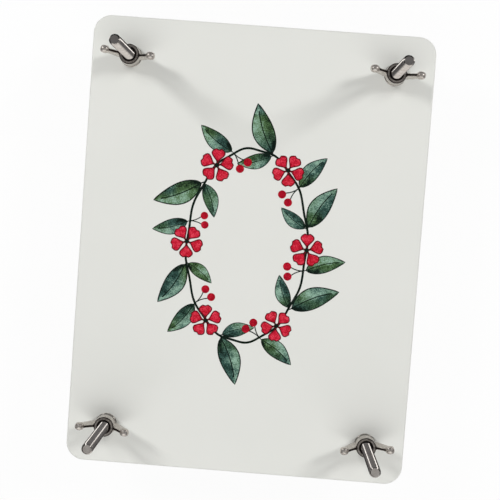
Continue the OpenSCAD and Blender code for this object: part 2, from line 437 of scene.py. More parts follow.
class MeshDraft:
    """Vertices and faces of a piece while it is drawn, in metres."""

    def __init__(self) -> None:
        """Starts an empty draft."""
        self.points: list[Vector] = []
        self.faces: list[tuple[int, ...]] = []
        self.panels: list[Sequence[Ring]] = []
        self.places: dict[int, Pair] = {}

    def ring(self, points: Iterable[Sequence[float]]) -> Ring:
        """Adds a closed row of points.

        Args:
            points: The points.

        Returns:
            The numbers of their vertices.
        """
        start = len(self.points)
        self.points.extend(Vector(p) for p in points)
        return list(range(start, len(self.points)))

    def loft(self, rings: Sequence[Ring], closed: bool = False) -> None:
        """Joins rows of as many points with quads.

        Args:
            rings: The rows, one after the other.
            closed: Whether the last row joins the first.
        """
        pairs = list(zip(rings, rings[1:]))
        if closed:
            pairs.append((rings[-1], rings[0]))
        for near, far in pairs:
            for i in range(len(near)):
                j = (i + 1) % len(near)
                self.faces.append((near[i], near[j], far[j], far[i]))

    def cap(self, ring: Ring) -> None:
        """Closes a row with one face."""
        self.faces.append(tuple(ring))

    def panel(self, rings: Sequence[Ring]) -> None:
        """Fills the flat face between an outline and the holes in it."""
        self.panels.append(rings)

    def solid(self, rows: Iterable[Iterable[Sequence[float]]]) -> list[Ring]:
        """Adds a body through rows of as many points, closed at both ends.

        Args:
            rows: The rows, one after the other.

        Returns:
            The numbers of each row's vertices.
        """
        rings = [self.ring(row) for row in rows]
        self.loft(rings)
        self.cap(rings[0])
        self.cap(rings[-1])
        return rings

    def lathe(self, profile: Sequence[Pair], centre: Vector, steps: int) -> list[Ring]:
        """Spins a half section about the vertical line through a point.

        Args:
            profile: Radii and heights of the section.
            centre: The point that the heights start from.
            steps: Faces round the axis.

        Returns:
            The numbers of each row's vertices.
        """
        rings = [self.ring(circle(centre, radius, height, steps)) for radius, height in profile]
        self.loft(rings)
        return rings

    def mesh(self, name: str, sharp_deg: float = 30.0) -> bpy.types.Mesh:
        """Turns the draft into a closed mesh whose faces point outwards.

        Args:
            name: The mesh's name.
            sharp_deg: Edges that fold by more than this are shaded sharp.

        Returns:
            The mesh.
        """
        bm = bmesh.new()
        uv_layer = bm.loops.layers.uv.new("UVMap") if self.places else None
        verts = [bm.verts.new(p) for p in self.points]
        for face in self.faces:
            made = bm.faces.new([verts[i] for i in face])
            if uv_layer:
                for loop, i in zip(made.loops, face):
                    loop[uv_layer].uv = self.places[i]
        for rings in self.panels:
            edges = []
            for ring in rings:
                for start, end in zip(ring, ring[1:] + ring[:1]):
                    pair = (verts[start], verts[end])
                    edges.append(bm.edges.get(pair) or bm.edges.new(pair))
            bmesh.ops.triangle_fill(bm, edges=edges, use_beauty=True)
        bmesh.ops.remove_doubles(bm, verts=bm.verts, dist=MERGE_DISTANCE)
        mesh = finished(name, bm)
        smooth(mesh, sharp_deg)
        return mesh


def finished(name: str, bm: bmesh.types.BMesh) -> bpy.types.Mesh:
    """Makes closed shells into a mesh whose faces point outwards.

    Args:
        name: The mesh's name.
        bm: The shells, which are freed.

    Returns:
        The mesh.
    """
    bmesh.ops.recalc_face_normals(bm, faces=bm.faces)
    mesh = bpy.data.meshes.new(name)
    bm.to_mesh(mesh)
    bm.free()
    return mesh


def joined(name: str, meshes: Sequence[bpy.types.Mesh]) -> bpy.types.Mesh:
    """Joins closed meshes into a new one whose faces point outwards.

    Args:
        name: The new mesh's name.
        meshes: The meshes, which are removed.

    Returns:
        The joined mesh.
    """
    bm = bmesh.new()
    for mesh in meshes:
        bm.from_mesh(mesh)
        bpy.data.meshes.remove(mesh)
    return finished(name, bm)


def smooth(mesh: bpy.types.Mesh, sharp_deg: float) -> None:
    """Shades a mesh smooth, but for edges that fold by more than an angle."""
    mesh.polygons.foreach_set("use_smooth", [True] * len(mesh.polygons))
    mesh.set_sharp_from_angle(angle=math.radians(sharp_deg))


def linked(name: str, data: bpy.types.ID) -> bpy.types.Object:
    """Puts a new object into the scene.

    Args:
        name: The object's name.
        data: Its mesh, lamp or camera.

    Returns:
        The object.
    """
    subject = bpy.data.objects.new(name, data)
    bpy.context.scene.collection.objects.link(subject)
    return subject


def evaluated(subject: bpy.types.Object) -> bpy.types.Mesh:
    """Makes an object's modifiers into a plain mesh and removes the object.

    Args:
        subject: The object.

    Returns:
        The mesh.
    """
    graph = bpy.context.evaluated_depsgraph_get()
    mesh = bpy.data.meshes.new_from_object(subject.evaluated_get(graph))
    bpy.data.objects.remove(subject)
    return mesh


def add_piece(mesh: bpy.types.Mesh, material: bpy.types.Material, body: str, slot: Slot, *nodes: str) -> None:
    """Puts a finished mesh into the scene as the piece of its name.

    Args:
        mesh: The mesh, in place.
        material: Its finish.
        body: The body that it moves with.
        slot: Not used.
        nodes: The nodes that it stands for.
    """
    mesh.materials.clear()
    mesh.materials.append(material)
    piece = linked(mesh.name, mesh)
    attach(piece, body)
    if nodes:
        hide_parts(*nodes)
    LOG.info("%s rides on %s, %d faces", mesh.name, body, len(mesh.polygons))


class ShapeTree(NamedTree):
    """A Geometry Nodes tree with named inputs, which makes one plain mesh each time it runs."""

    SOCKETS = {
        float: "NodeSocketFloat",
        int: "NodeSocketInt",
        bpy.types.Object: "NodeSocketObject",
        bpy.types.Material: "NodeSocketMaterial",
    }

    def __init__(self, name: str, inputs: dict[type, Sequence[str]]) -> None:
        """Makes the tree and its inputs, the last of which is the finish.

        Args:
            name: The tree's name.
            inputs: The names of the inputs, by the kind of value that they take.
        """
        super().__init__(bpy.data.node_groups.new(name, "GeometryNodeTree"))
        face = self.tree.interface
        self.sockets = {
            key: face.new_socket(name=key, in_out="INPUT", socket_type=self.SOCKETS[kind])
            for kind, keys in {**inputs, bpy.types.Material: ("Finish",)}.items()
            for key in keys
        }
        face.new_socket(name="Mesh", in_out="OUTPUT", socket_type="NodeSocketGeometry")
        entry = self.tree.nodes.new("NodeGroupInput")
        self.known.update({key: entry.outputs[key] for key in self.sockets})

    def grid(self, size: float, columns: int | str, rows: str) -> None:
        """Starts from a level grid, whose points are at X and at Y.

        Args:
            size: The grid's width and length.
            columns: How many columns of points, or the input that says so.
            rows: The input that says how many rows.
        """
        sides: Inputs = {"Size X": size, "Size Y": size, "Vertices X": columns, "Vertices Y": rows}
        self.add("grid", "GeometryNodeMeshGrid", sides)
        self.add("position", "GeometryNodeInputPosition")
        self.add("at", SPLIT, {0: "position"})

    def move(self, *axes: str) -> None:
        """Moves the grid's points to the places that three results give."""
        self.add("place", COMBINE, Inputs(enumerate(axes)))
        self.add("moved", "GeometryNodeSetPosition", {"Geometry": "grid", "Position": "place"})

    def close(self, geometry: str) -> None:
        """Merges the points that meet, and ends the tree."""
        self.add("merged", "GeometryNodeMergeByDistance", {"Geometry": geometry, "Distance": MERGE_DISTANCE})
        self.end("merged")

    def end(self, geometry: str) -> None:
        """Ends the tree in real geometry with a material of its own.

        Args:
            geometry: The result that it ends in.
        """
        self.add("real", "GeometryNodeRealizeInstances", {0: geometry})
        self.add("dressed", "GeometryNodeSetMaterial", {"Geometry": "real", "Material": "Finish"})
        self.add("end", "NodeGroupOutput", {0: "dressed"})

    def run(self, values: dict[str, object]) -> bpy.types.Mesh:
        """Runs the tree.

        Args:
            values: A value for each input, by its name.

        Returns:
            The plain mesh that it makes.
        """
        carrier = linked("carrier", bpy.data.meshes.new("carrier"))
        modifier = carrier.modifiers.new("shape", "NODES")
        modifier.node_group = self.tree
        for key, value in values.items():
            modifier[self.sockets[key].identifier] = value
        return evaluated(carrier)


def thread_tree() -> ShapeTree:
    """Makes the tree of a threaded rod: a grid whose rows wind round the rod along the thread.

    Returns:
        The tree. Row by row the grid climbs one pitch in a turn, so its two sides meet. It starts
        more than a turn below the foot, and its first and last rows close the ends.
    """
    # As a metric thread: the crest takes an eighth of the pitch, and the root a quarter
    crest_share, flank_share, last_row, turns_below = 0.125, 0.625, 0.49999, 1.25
    sizes = ("Length", "Radius", "Depth", "Pitch", "Chamfer", "Run-out")
    shape = ShapeTree("Threaded rod", {float: sizes, int: ("Columns", "Rows")})
    shape.grid(1.0, "Columns", "Rows")
    shape.formula(
        MATH,
        ("Round", "ADD", "at X", 0.5),
        ("Along", "ADD", "at Y", 0.5),
        ("Whole turns", "DIVIDE", "Length", "Pitch"),
        ("Turns", "ADD", "Whole turns", "Run-out"),
        ("Travel", "MULTIPLY", "Along", "Turns"),
        ("Climb", "ADD", "Travel", "Round"),
        ("Lap", "SUBTRACT", "Climb", turns_below),
        ("Free height", "MULTIPLY", "Lap", "Pitch"),
        ("Above foot", "MAXIMUM", "Free height", 0.0),
        ("Height", "MINIMUM", "Above foot", "Length"),
        ("Phase", "FRACT", "Travel"),
        ("Lag", "SUBTRACT", "Phase", 0.5),
        ("Off crest", "ABSOLUTE", "Lag"),
        ("Share off", "MULTIPLY", "Off crest", 2.0),
        ("Past crest", "SUBTRACT", "Share off", crest_share),
        ("Down flank", "DIVIDE", "Past crest", flank_share),
        ("From crest", "MAXIMUM", "Down flank", 0.0),
        ("To root", "MINIMUM", "From crest", 1.0),
        ("Ridge", "SUBTRACT", 1.0, "To root"),
        ("Past foot", "GREATER_THAN", "Free height", 0.0),
        ("Before tip", "LESS_THAN", "Free height", "Length"),
        ("On rod", "MULTIPLY", "Past foot", "Before tip"),
        ("Kept ridge", "MULTIPLY", "Ridge", "On rod"),
        ("Sunk", "SUBTRACT", 1.0, "Kept ridge"),
        ("Dip", "MULTIPLY", "Sunk", "Depth"),
        ("Thread radius", "SUBTRACT", "Radius", "Dip"),
        ("Below tip", "SUBTRACT", "Length", "Height"),
        ("Tip radius", "SUBTRACT", "Radius", "Chamfer"),
        ("Cone radius", "ADD", "Below tip", "Tip radius"),
        ("Turned radius", "MINIMUM", "Thread radius", "Cone radius"),
        ("Off middle", "ABSOLUTE", "at Y"),
        ("Open", "LESS_THAN", "Off middle", last_row),
        ("Final radius", "MULTIPLY", "Turned radius", "Open"),
        ("Angle", "MULTIPLY", "Round", 2 * math.pi),
        ("Cosine", "COSINE", "Angle"),
        ("Sine", "SINE", "Angle"),
        ("Rod X", "MULTIPLY", "Final radius", "Cosine"),
        ("Rod Y", "MULTIPLY", "Final radius", "Sine"),
    )
    shape.move("Rod X", "Rod Y", "Height")
    shape.close("moved")
    return shape


def ply_tree() -> ShapeTree:
    """Makes the tree of one ply of a card: a strip with cut corners, waved along its length.

    Returns:
        The tree. With no rise it makes a flat liner.
    """
    sizes = ("Half width", "Half length", "Cut", "Rise", "Flutes", "Shift", "Middle", "Thickness")
    shape = ShapeTree("Card ply", {float: sizes, int: ("Steps",)})
    shape.grid(2.0, 2, "Steps")
    shape.formula(
        MATH,
        ("Ply Y", "MULTIPLY", "at Y", "Half length"),
        ("Off middle", "ABSOLUTE", "Ply Y"),
        ("Straight side", "SUBTRACT", "Half length", "Cut"),
        ("Past side", "SUBTRACT", "Off middle", "Straight side"),
        ("Cut in", "MAXIMUM", "Past side", 0.0),
        ("Reach", "SUBTRACT", "Half width", "Cut in"),
        ("Ply X", "MULTIPLY", "at X", "Reach"),
        ("Turn", "MULTIPLY", "at Y", "Flutes"),
        ("Angle", "MULTIPLY_ADD", "Turn", math.pi, "Shift"),
        ("Sine", "SINE", "Angle"),
        ("Top", "MULTIPLY_ADD", "Thickness", 0.5, "Middle"),
        ("Ply Z", "MULTIPLY_ADD", "Sine", "Rise", "Top"),
        ("Down", "MULTIPLY", "Thickness", -1.0),
    )
    shape.move("Ply X", "Ply Y", "Ply Z")
    shape.add("fall", COMBINE, {2: "Down"})
    extrusion: Inputs = {"Mesh": "moved", "Offset": "fall", "Offset Scale": 1.0, "Individual": False}
    shape.add("under", "GeometryNodeExtrudeMesh", extrusion)
    both = shape.add("both", "GeometryNodeJoinGeometry", {0: "moved"})
    shape.tree.links.new(shape.known["under"], both.inputs[0])
    shape.close("both")
    return shape


def garland_tree() -> ShapeTree:
    """Makes the tree that sets copies of a motif along an oval.

    Returns:
        The tree. It counts the places along the oval and fills every so many of them.
    """
    oval_steps, near_enough = 256, 0.1
    sizes = ("Half width", "Half length", "Lean", "Small", "Large")
    counts = ("Places", "Every", "Which", "Seed")
    shape = ShapeTree("Garland", {bpy.types.Object: ("Motif",), float: sizes, int: counts})
    shape.add("circle", "GeometryNodeCurvePrimitiveCircle", {"Resolution": oval_steps, "Radius": 1.0})
    shape.add("stretch", COMBINE, {0: "Half width", 1: "Half length", 2: 1.0})
    shape.add("oval", "GeometryNodeTransform", {"Geometry": "circle", "Scale": "stretch"})
    shape.add("points", "GeometryNodeCurveToPoints", {"Curve": "oval", "Count": "Places"}, mode="COUNT")
    shape.add("ahead", SPLIT, {0: "points Tangent"})
    shape.add("index", "GeometryNodeInputIndex")
    shape.formula(
        MATH,
        ("heading", "ARCTAN2", "ahead Y", "ahead X"),
        ("leaning", "ADD", "heading", "Lean"),
        ("count", "MODULO", "index", "Every"),
        ("filled", "COMPARE", "count", "Which", near_enough),
    )
    shape.add("turn", COMBINE, {2: "leaning"})
    between: Inputs = {"Min": "Small", "Max": "Large", "Seed": "Seed"}
    shape.add("size", "FunctionNodeRandomValue", between, data_type="FLOAT")
    shape.add("motif", "GeometryNodeObjectInfo", {"Object": "Motif"})
    copies: Inputs = {"Points": "points", "Selection": "filled", "Instance": "motif Geometry"}
    shape.add("placed", "GeometryNodeInstanceOnPoints", {**copies, "Rotation": "turn", "Scale": "size"})
    shape.end("placed")
    return shape


def bolt_centres() -> list[Vector]:
    """Finds where the bolts stand.

    Returns:
        For each bolt the point of its axis at the height of the underside.
    """
    boxes = [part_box(f"carriage_bolt_{n}") for n in CORNERS]
    middles = [(low + high) / 2 for low, high in boxes]
    return [Vector((m.x, m.y, 0.0)) for m in middles]


@dataclass
class PaintedBoard:
    """A board of the press: round corners, eased edges, and a drilled hole at each bolt."""

    node: str
    name: str
    body: str
    recessed: bool
    corner_r: float = 10.0 * MM
    edge_r: float = 1.2 * MM
    hole_r: float = 3.5 * MM
    rim_r: float = 0.4 * MM
    recess_r: float = 8.75 * MM
    recess_depth: float = 4.0 * MM
    arc_steps: int = 12
    edge_steps: int = 5
    hole_steps: int = 48

    def hole_profile(self, low_z: float, high_z: float) -> list[Pair]:
        """Gives the section of a hole's wall, from the underside up.

        Args:
            low_z: Height of the board's underside.
            high_z: Height of its upper face.

        Returns:
            Radii and heights, with a recess for the bolt's head where the board has one.
        """
        foot_r = self.recess_r if self.recessed else self.hole_r
        foot = [(foot_r + self.rim_r, low_z), (foot_r, low_z + self.rim_r)]
        if self.recessed:
            foot += [(radius, low_z + self.recess_depth) for radius in (self.recess_r, self.hole_r)]
        return [*foot, (self.hole_r, high_z - self.rim_r), (self.hole_r + self.rim_r, high_z)]

    def build(self, finish: bpy.types.Material) -> None:
        """Builds the board.

        Args:
            finish: Its paint.
        """
        low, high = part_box(self.node)
        draft = MeshDraft()
        turns = [math.pi / 2 * i / self.edge_steps for i in range(self.edge_steps + 1)]
        curve = [(self.edge_r * (1 - math.sin(a)), self.edge_r * (1 - math.cos(a))) for a in turns]
        levels = [(inset, low.z + rise) for inset, rise in curve]
        levels += [(inset, high.z - rise) for inset, rise in reversed(curve)]
        sides = [
            draft.ring(rounded_box(low, high, self.corner_r, inset, height, self.arc_steps))
            for inset, height in levels
        ]
        draft.loft(sides)
        profile = self.hole_profile(low.z, high.z)
        holes = [draft.lathe(profile, centre, self.hole_steps) for centre in bolt_centres()]
        for end in (0, -1):
            draft.panel([rings[end] for rings in (sides, *holes)])
        add_piece(draft.mesh(self.name), finish, self.body, Slot.PAINT, self.node)


@dataclass
class CarriageBolt:
    """A carriage bolt: dome head below, square neck in the board, thread all the way up."""

    number: int
    head_r: float = 8.25 * MM
    head_h: float = 3.5 * MM
    head_rim_h: float = 0.7 * MM
    head_eased: float = 0.15 * MM
    dome_steps: int = 10
    head_steps: int = 64
    neck_w: float = 6.4 * MM
    neck_l: float = 4.0 * MM
    neck_corner_r: float = 1.0 * MM
    neck_corner_steps: int = 4
    thread_r: float = 2.98 * MM
    thread_depth: float = 0.58 * MM
    pitch: float = 1.0 * MM
    tip_chamfer: float = 0.8 * MM
    run_out_turns: float = 1.5
    rows_per_turn: int = 8
    columns: int = 29
    sharp_deg: float = 40.0

    def head_profile(self) -> list[Pair]:
        """Gives the half section of the head, from the bottom of its dome to its flat.

        Returns:
            Radii, and heights above the flat.
        """
        dome_h = self.head_h - self.head_rim_h
        dome_r = (self.head_r**2 + dome_h**2) / (2 * dome_h)
        sweep = math.asin(self.head_r / dome_r)
        turns = [sweep * i / self.dome_steps for i in range(self.dome_steps + 1)]
        dome = [(dome_r * math.sin(a), dome_r * (1 - math.cos(a)) - self.head_h) for a in turns]
        return [*dome, (self.head_r - self.head_eased, 0.0), (0.0, 0.0)]

    def build(self, thread: ShapeTree, finish: bpy.types.Material) -> None:
        """Builds the bolt.

        Args:
            thread: The tree that makes the threaded rod.
            finish: Its plate.
        """
        node = f"carriage_bolt_{self.number}"
        low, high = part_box(node)
        seat = bolt_centres()[self.number - 1] + Vector((0.0, 0.0, low.z + self.head_h))
        half = Vector((self.neck_w / 2, self.neck_w / 2, 0.0))
        draft = MeshDraft()
        draft.lathe(self.head_profile(), seat, self.head_steps)
        draft.solid(
            rounded_box(seat - half, seat + half, self.neck_corner_r, 0.0, seat.z + z, self.neck_corner_steps)
            for z in (0.0, self.neck_l)
        )
        length = high.z - seat.z - self.neck_l
        rod = thread.run(
            {
                "Length": length,
                "Radius": self.thread_r,
                "Depth": self.thread_depth,
                "Pitch": self.pitch,
                "Chamfer": self.tip_chamfer,
                "Run-out": self.run_out_turns,
                "Columns": self.columns,
                "Rows": round((length / self.pitch + self.run_out_turns) * self.rows_per_turn) + 1,
                "Finish": finish,
            }
        )
        rod.transform(Matrix.Translation(seat + Vector((0.0, 0.0, self.neck_l))))
        mesh = joined(f"threaded_bolt_{self.number}", [draft.mesh("head", self.sharp_deg), rod])
        smooth(mesh, self.sharp_deg)
        add_piece(mesh, finish, "base", Slot.BOLT, node)


@dataclass(frozen=True)
class WingChord:
    """A section of a wing: where its upper and lower edges run, and half its thickness."""

    upper: Pair
    lower: Pair
    half_t: float


@dataclass(frozen=True)
class PaintedShadeMark:
    """Painted shade or dark reflection on a part of the casting: its strength, and how it fades with
    distance.
    """

    strength: float
    full: float
    none: float

    def at(self, distance: float) -> float:
        """Gives the painted shade at a distance from the mark, from 0, none, to its full strength."""
        return self.strength * min(max((self.none - distance) / (self.none - self.full), 0.0), 1.0)


@dataclass
class WingNut:
    """A cast wing nut: a tapered hub with a machined bore, and two wings that end in thumb pads."""

    turns_deg: tuple[float, ...] = (-4.3, -4.5, 5.6, -3.5)
    base_r: float = 5.875 * MM
    top_r: float = 5.5 * MM
    hub_h: float = 8.0 * MM
    band_h: float = 1.6 * MM
    hub_chamfer: float = 0.4 * MM
    hub_steps: int = 72
    bore_r: float = 3.05 * MM
    bore_chamfer: float = 0.9 * MM
    bore_steps: int = 64
    face_r: float = 5.15 * MM
    face_cut: float = 0.05 * MM
    face_rim: float = 0.22 * MM
    face_clear: float = 9.0 * MM
    pad_centre: Pair = (12.5 * MM, 13.5 * MM)
    pad_r: float = 2.5 * MM
    pad_half_t: float = 2.15 * MM
    pad_round_r: float = 1.9 * MM
    pad_round_steps: int = 6
    pad_steps: int = 40
    wing_steps: int = 20
    wing_squareness: float = 0.45
    ridge_taper: float = 0.45
    voxel: float = 0.16 * MM
    smoothing: float = 0.5
    smoothing_steps: int = 3
    sharp_deg: float = 35.0
    chords: tuple[WingChord, ...] = (
        WingChord((3.4 * MM, 6.4 * MM), (5.2 * MM, 0.4 * MM), 2.2 * MM),
        WingChord((5.2 * MM, 8.2 * MM), (7.3 * MM, 0.9 * MM), 1.9 * MM),
        WingChord((7.0 * MM, 10.0 * MM), (9.0 * MM, 3.1 * MM), 1.7 * MM),
        WingChord((8.7 * MM, 11.9 * MM), (11.0 * MM, 6.6 * MM), 1.6 * MM),
        WingChord((10.2 * MM, 13.8 * MM), (13.0 * MM, 10.2 * MM), 1.75 * MM),
        WingChord((11.2 * MM, 15.1 * MM), (14.2 * MM, 12.2 * MM), 1.95 * MM),
    )
    # painted shade and dark reflections on the casting: on the turned top and round its rim, in the bore,
    # along the wings' upper and lower edges, over the pads, along the band and at the foot
    face_shade: PaintedShadeMark = PaintedShadeMark(0.64, 0.0, 0.1 * MM)
    rim_inset: float = 0.1 * MM
    rim_shade: PaintedShadeMark = PaintedShadeMark(1.0, 0.3 * MM, 0.5 * MM)
    top_shade: PaintedShadeMark = PaintedShadeMark(1.0, 0.45 * MM, 0.8 * MM)
    bore_shade: PaintedShadeMark = PaintedShadeMark(1.0, 0.0, 0.22 * MM)
    pad_shade: PaintedShadeMark = PaintedShadeMark(0.2, 0.0, 0.3 * MM)
    pad_unshaded_middle: PaintedShadeMark = PaintedShadeMark(0.8, 1.4 * MM, 2.1 * MM)
    ridge_shade: PaintedShadeMark = PaintedShadeMark(1.0, 0.42 * MM, 0.85 * MM)
    under_shade: PaintedShadeMark = PaintedShadeMark(0.9, 0.45 * MM, 1.1 * MM)
    foot_shade: PaintedShadeMark = PaintedShadeMark(0.8, 0.3 * MM, 0.7 * MM)
    band_shade: PaintedShadeMark = PaintedShadeMark(0.8, 0.5 * MM, 1.2 * MM)
    band_reach: PaintedShadeMark = PaintedShadeMark(1.0, 0.0, 0.5 * MM)

    def hub_profile(self) -> list[Pair]:
        """Gives the half section of the hub without its bore.

        Returns:
            Radii and heights, from the foot up.
        """
        return [
            (0.0, 0.0),
            (self.base_r - self.hub_chamfer, 0.0),
            (self.base_r, self.hub_chamfer),
            (self.base_r, self.band_h),
            (self.top_r, self.hub_h - self.hub_chamfer),
            (self.top_r - self.hub_chamfer, self.hub_h),
            (0.0, self.hub_h),
        ]

    def bore_profile(self) -> list[Pair]:
        """Gives the half section of the tool that cuts the bore, its chamfers and the flat round it.

        Returns:
            Radii and heights above the nut's foot, from the foot up.
        """
        past = self.bore_chamfer
        face_z = self.hub_h - self.face_cut
        clear = self.hub_h + self.face_clear
        mouth_r = self.bore_r + past
        face = (mouth_r, mouth_r + self.face_rim, self.face_r - self.face_rim, self.face_r)
        return [
            (0.0, -past),
            (self.bore_r + 2 * past, -past),
            (self.bore_r, past),
            (self.bore_r, face_z - past),
            *((radius, face_z) for radius in face),
            (self.face_r, clear),
            (0.0, clear),
        ]

    def wing_ring(self, chord: WingChord, side: int) -> list[Vector]:
        """Places points round a wing's section.

        Args:
            chord: The section.
            side: 1 for the wing on the right, -1 for the one on the left.

        Returns:
            The points of a rounded rectangle as high as the chord, narrower towards its upper edge.
        """
        upper = Vector((chord.upper[0], 0.0, chord.upper[1]))
        lower = Vector((chord.lower[0], 0.0, chord.lower[1]))
        points = []
        for i in range(self.wing_steps):
            angle = 2 * math.pi * i / self.wing_steps
            across, rise = (
                math.copysign(abs(wave) ** self.wing_squareness, wave)
                for wave in (math.cos(angle), math.sin(angle))
            )
            share = (rise + 1) / 2
            thick = across * chord.half_t * (1 - self.ridge_taper * share)
            point = lower.lerp(upper, share) + Vector((0.0, thick, 0.0))
            points.append(Vector((point.x * side, point.y * side, point.z)))
        return points

    def pad_profile(self) -> list[Pair]:
        """Gives the half section of a thumb pad about its own short axis.

        Returns:
            Radii and heights, from the upper face down.
        """
        turns = [math.pi / 2 * i / self.pad_round_steps for i in range(self.pad_round_steps + 1)]
        round_r = self.pad_round_r
        flat_r, flat_t = self.pad_r - round_r, self.pad_half_t - round_r
        upper = [(flat_r + round_r * math.sin(a), flat_t + round_r * math.cos(a)) for a in turns]
        lower = [(radius, -height) for radius, height in reversed(upper)]
        return [(0.0, self.pad_half_t), *upper, *lower, (0.0, -self.pad_half_t)]

    def turned(self, name: str, profile: Sequence[Pair], steps: int) -> bpy.types.Mesh:
        """Makes a round part about the nut's axis from its half section.

        Args:
            name: The part's name.
            profile: Radii and heights of the section.
            steps: Faces round the axis.

        Returns:
            The part's mesh.
        """
        draft = MeshDraft()
        draft.lathe(profile, Vector(), steps)
        return draft.mesh(name)

    def casting(self) -> bpy.types.Mesh:
        """Makes the nut's mesh at the origin, its wings along X: cast in one, then bored.

        Returns:
            The mesh, with its painted shade as an attribute.
        """
        parts = [self.turned("hub", self.hub_profile(), self.hub_steps)]
        for side in (1, -1):
            wing = MeshDraft()
            wing.solid(self.wing_ring(chord, side) for chord in self.chords)
            knob = self.turned("pad", self.pad_profile(), self.pad_steps)
            place = Matrix.Translation((side * self.pad_centre[0], 0.0, self.pad_centre[1]))
            knob.transform(place @ Matrix.Rotation(math.pi / 2, 4, "X"))
            parts += [wing.mesh("wing"), knob]
        blank = linked("blank", joined("blank", parts))
        remesh = blank.modifiers.new("cast", "REMESH")
        remesh.mode = "VOXEL"
        remesh.voxel_size = self.voxel
        soften = blank.modifiers.new("soften", "SMOOTH")
        soften.factor = self.smoothing
        soften.iterations = self.smoothing_steps
        drill = linked("drill", self.turned("drill", self.bore_profile(), self.bore_steps))
        bored = blank.modifiers.new("bore", "BOOLEAN")
        bored.operation = "DIFFERENCE"
        bored.object = drill
        mesh = evaluated(blank)
        bpy.data.objects.remove(drill)
        stain = mesh.attributes.new(PAINTED_SHADE, "FLOAT", "POINT")
        stain.data.foreach_set("value", [self.painted_shade_at(vertex.co) for vertex in mesh.vertices])
        return mesh

    def edge_distance(self, place: Vector, upper: bool) -> float:
        """Measures how far a point of the nut lies from a wing's upper or lower edge, seen from the front.

        Args:
            place: The point, from the middle of the nut's foot.
            upper: Whether the upper edge is meant.

        Returns:
            The distance to the nearest stretch of that edge.
        """
        spot = Vector((abs(place.x), place.z))
        edge = [Vector(chord.upper if upper else chord.lower) for chord in self.chords[1:-1]]
        nearest = math.inf
        for start, end in zip(edge, edge[1:]):
            run = end - start
            share = min(max((spot - start).dot(run) / run.length_squared, 0.0), 1.0)
            nearest = min(nearest, (spot - start - run * share).length)
        return nearest

    def painted_shade_at(self, place: Vector) -> float:
        """Tells how much painted shade and dark reflection darken the plate at a point of the nut.

        Args:
            place: The point, from the middle of the nut's foot.

        Returns:
            From 0, none, to 1: on the turned top and darker round it, in the bore, along the wings'
            edges, on the pads, over the band and at the foot.
        """
        reach = math.hypot(place.x, place.y)
        face = self.face_shade.at(reach - self.face_r)
        rim = self.rim_shade.at(abs(reach - self.top_r + self.rim_inset))
        aside = math.hypot(abs(place.x) - self.pad_centre[0], place.y)
        off_pad = math.hypot(aside, place.z - self.pad_centre[1])
        off_ridge = math.hypot(self.edge_distance(place, upper=True), place.y)
        return max(
            self.top_shade.at(abs(place.z - self.hub_h)) * max(face, rim),
            self.bore_shade.at(reach - self.bore_r - self.bore_chamfer),
            self.ridge_shade.at(off_ridge),
            self.under_shade.at(self.edge_distance(place, upper=False)),
            self.foot_shade.at(place.z),
            self.band_shade.at(abs(place.z - self.band_h)) * self.band_reach.at(reach - self.base_r),
            self.pad_shade.at(off_pad - self.pad_r) * (1 - self.pad_unshaded_middle.at(aside)),
        )

    def build(self, finish: bpy.types.Material) -> None:
        """Builds the four nuts, each at the angle at which it was left.

        Args:
            finish: Their plate, which reads the painted shade.
        """
        casting = self.casting()
        for number, turn, centre in zip(CORNERS, self.turns_deg, bolt_centres()):
            node = f"wing_nut_{number}"
            mesh = casting.copy()
            mesh.name = f"cast_wing_nut_{number}"
            foot = centre + Vector((0.0, 0.0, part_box(node)[0].z))
            mesh.transform(Matrix.Translation(foot) @ Matrix.Rotation(math.radians(turn), 4, "Z"))
            smooth(mesh, self.sharp_deg)
            add_piece(mesh, finish, f"nut_{number}", Slot.NUT, node)
        bpy.data.meshes.remove(casting)


@dataclass
class FlutedCard:
    """A single-wall corrugated card: a waved medium between two liners, its corners cut off."""

    number: int
    liner_t: float = 0.35 * MM
    medium_t: float = 0.32 * MM
    flute_pitch: float = 6.5 * MM
    steps_per_flute: int = 14
    shift_per_card: float = 1.9
    cut: float = CORNER_CUT
    sharp_deg: float = 50.0

    def build(self, ply: ShapeTree, finish: bpy.types.Material) -> None:
        """Builds the card.

        Args:
            ply: The tree that makes one ply.
            finish: Its kraft paper.
        """
        node = f"corrugated_card_{self.number}"
        low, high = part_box(node)
        flutes = round((high.y - low.y) / self.flute_pitch)
        shared = {
            "Half width": (high.x - low.x) / 2,
            "Half length": (high.y - low.y) / 2,
            "Cut": self.cut,
            "Flutes": float(flutes),
            "Shift": self.shift_per_card * self.number,
            "Steps": flutes * self.steps_per_flute + 1,
            "Finish": finish,
        }
        rise = (high.z - low.z - self.medium_t) / 2 - self.liner_t
        plies = [
            ply.run({**shared, "Rise": rise, "Middle": middle, "Thickness": thickness})
            for rise, middle, thickness in (
                (0.0, low.z + self.liner_t / 2, self.liner_t),
                (0.0, high.z - self.liner_t / 2, self.liner_t),
                (rise, (low.z + high.z) / 2, self.medium_t),
            )
        ]
        mesh = joined(f"fluted_card_{self.number}", plies)
        smooth(mesh, self.sharp_deg)
        add_piece(mesh, finish, f"card_{self.number}", Slot.CARD, node)


